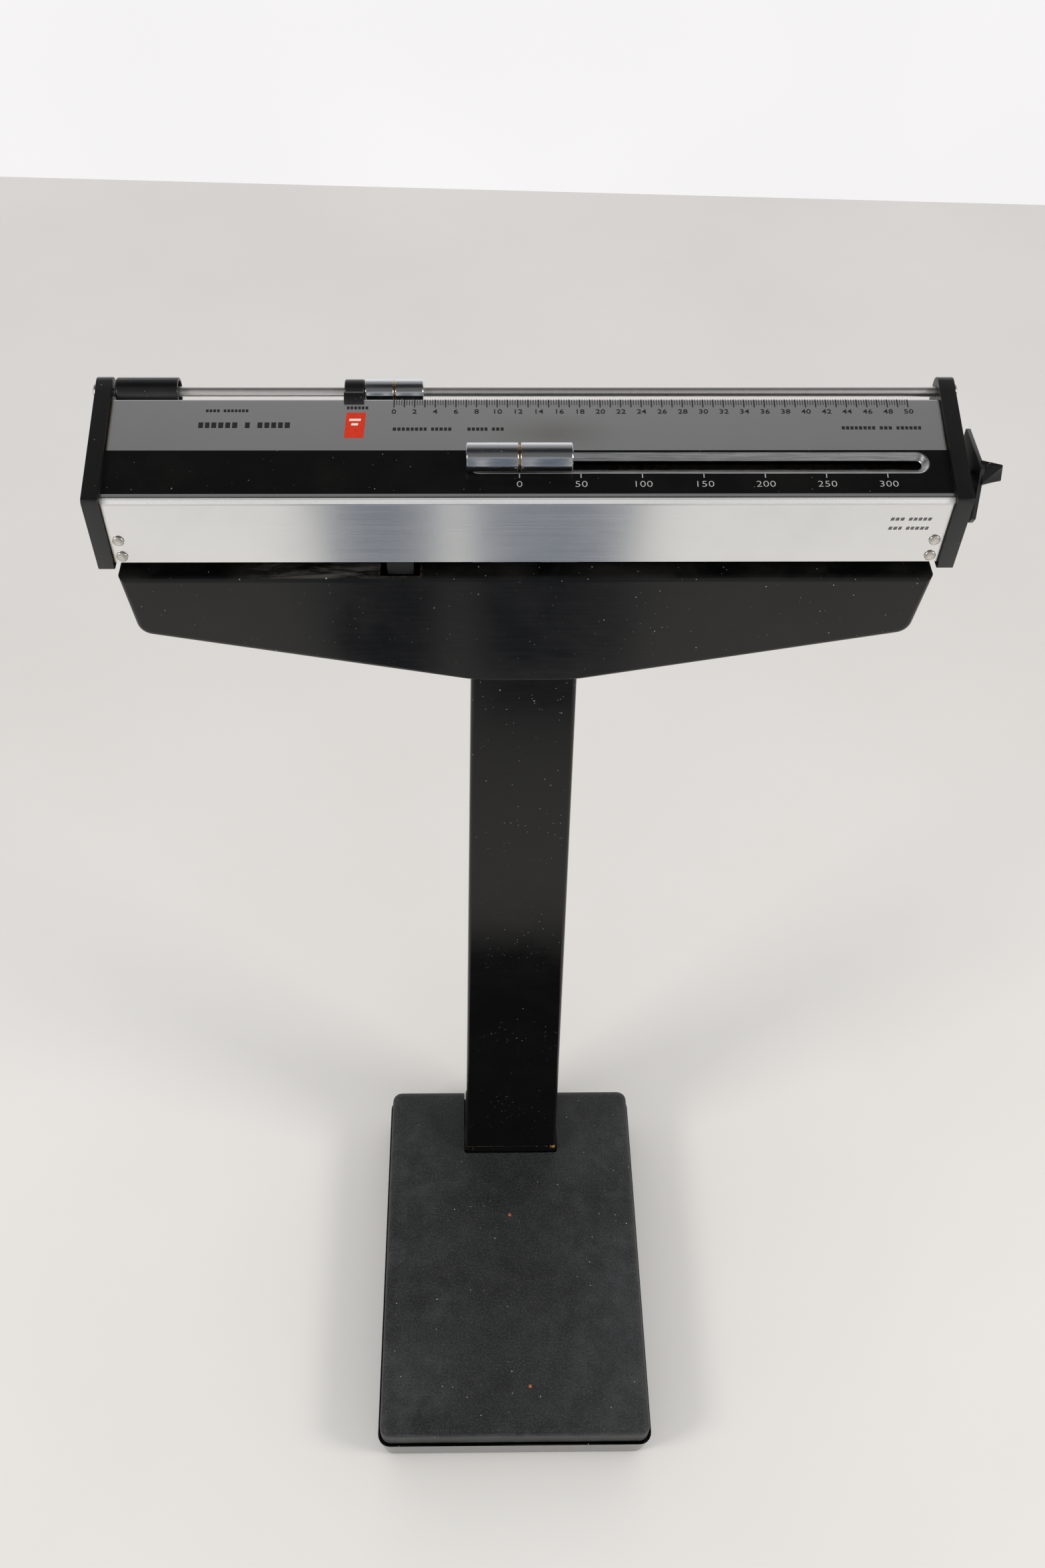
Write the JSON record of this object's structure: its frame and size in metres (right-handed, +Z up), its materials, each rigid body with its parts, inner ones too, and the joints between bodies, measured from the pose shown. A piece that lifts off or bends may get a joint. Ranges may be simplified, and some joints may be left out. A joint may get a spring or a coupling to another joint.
{
  "type": "physician beam scale",
  "caption": "Platform weighing scale with a tapered column, a hooded fulcrum and a tilting weigh beam carrying two sliding poises.",
  "frame": {"origin": "on the floor, under the centre of the whole scale's bounding box", "axes": "+Z up; +Y from the platform's front edge towards the column, the way the user faces; +X to the user's right, along the beam, towards higher readings"},
  "size_m": [0.5544, 0.3888, 0.9489],
  "materials": {
    "black_paint": "semi-gloss black enamel",
    "tread_rubber": "matte charcoal with fine grain",
    "foot_rubber": "matte black",
    "black_plastic": "satin black moulding",
    "aluminium": "brushed along the beam, with printed graduations",
    "chrome": "bright plated, lightly pitted",
    "steel": "plain turned or cut steel",
    "cast_iron": "plain dark casting"
  },
  "bodies": {
    "stand": {"base_pan": "black_paint", "foot_front_left": "foot_rubber", "foot_front_right": "foot_rubber", "foot_rear_left": "foot_rubber", "foot_rear_right": "foot_rubber", "bearing_post_front_left": "steel", "bearing_post_front_right": "steel", "bearing_post_rear_left": "steel", "bearing_post_rear_right": "steel", "column": "black_paint", "column_foot": "steel", "hood_shell": "black_paint", "hood_back_cover": "black_paint", "fulcrum_stand": "steel", "fulcrum_bearing_front": "steel", "fulcrum_bearing_rear": "steel"},
    "platform": {"platform_tread": "tread_rubber", "platform_pan": "black_paint", "platform_leg_front_left": "steel", "platform_leg_front_right": "steel", "platform_leg_rear_left": "steel", "platform_leg_rear_right": "steel"},
    "long_lever": {"long_lever": "cast_iron", "front_fulcrum_knife": "steel", "front_load_knife": "steel"},
    "short_lever": {"short_lever": "cast_iron", "rear_fulcrum_knife_left": "steel", "rear_fulcrum_knife_right": "steel", "rear_load_knife_left": "steel", "rear_load_knife_right": "steel"},
    "lever_link": {"lever_link": "steel"},
    "draw_rod": {"draw_rod": "steel"},
    "beam": {"face_panel": "aluminium", "slot_surround": "aluminium", "end_cap_left": "black_plastic", "end_cap_right": "black_plastic", "poise_rod": "steel", "rod_button_left": "chrome", "rod_button_right": "chrome", "zero_stop_collar": "black_plastic", "beam_bar_front": "steel", "beam_bar_rear": "steel", "rear_panel": "black_paint", "beam_knife": "steel", "draw_knife": "steel", "beam_stop_tab": "steel", "notched_bar": "steel", "rivet_left_upper": "chrome", "rivet_left_lower": "chrome", "rivet_right_upper": "chrome", "rivet_right_lower": "chrome"},
    "small_poise": {"small_poise": "chrome"},
    "large_poise": {"large_poise": "chrome", "poise_neck": "steel", "poise_weight": "cast_iron", "detent_pawl": "steel"},
    "zero_balance": {"zero_balance_sleeve": "black_plastic"},
    "beam_lock": {"lock_knob": "black_plastic", "lock_shaft": "steel"}
  },
  "joints": [
    {"name": "beam_tilt", "type": "hinge", "parent": "stand", "child": "beam", "pos_m": [-0.00795, 0.1319, 0.878], "axis": [0, 1, 0], "range_deg": [-1.5, 1.5]},
    {"name": "draw_rod_travel", "type": "slide", "parent": "stand", "child": "draw_rod", "axis": [0, 0, 1], "range_m": [-0.00065, 0.00065]},
    {"name": "long_lever_tilt", "type": "hinge", "parent": "stand", "child": "long_lever", "pos_m": [-0.00795, -0.1681, 0.0082], "axis": [1, 0, 0], "range_deg": [-0.13, 0.13]},
    {"name": "short_lever_tilt", "type": "hinge", "parent": "stand", "child": "short_lever", "pos_m": [-0.00795, 0.1469, 0.0212], "axis": [1, 0, 0], "range_deg": [-0.13, 0.13]},
    {"name": "lever_link_travel", "type": "slide", "parent": "stand", "child": "lever_link", "axis": [0, 0, 1], "range_m": [-0.00034, 0.00034]},
    {"name": "platform_travel", "type": "slide", "parent": "stand", "child": "platform", "axis": [0, 0, 1], "range_m": [-0.0001, 0.0001]},
    {"name": "small_poise_slide", "type": "slide", "parent": "beam", "child": "small_poise", "axis": [1, 0, 0], "range_m": [0, 0.3175]},
    {"name": "large_poise_slide", "type": "slide", "parent": "beam", "child": "large_poise", "axis": [1, 0, 0], "range_m": [0, 0.22225]},
    {"name": "zero_balance_slide", "type": "slide", "parent": "beam", "child": "zero_balance", "axis": [1, 0, 0], "range_m": [0, 0.102]},
    {"name": "beam_lock_turn", "type": "hinge", "parent": "beam", "child": "beam_lock", "pos_m": [0.25505, 0.1379, 0.913], "axis": [-1, 0, 0], "range_deg": [0, 90]}
  ],
  "couplings": [
    {"joint": "draw_rod_travel", "follows": "beam_tilt", "m_per_rad": 0.024},
    {"joint": "long_lever_tilt", "follows": "beam_tilt", "ratio": 0.08027},
    {"joint": "short_lever_tilt", "follows": "beam_tilt", "ratio": -0.08027},
    {"joint": "lever_link_travel", "follows": "beam_tilt", "m_per_rad": 0.012642},
    {"joint": "platform_travel", "follows": "beam_tilt", "m_per_rad": 0.003612}
  ]
}
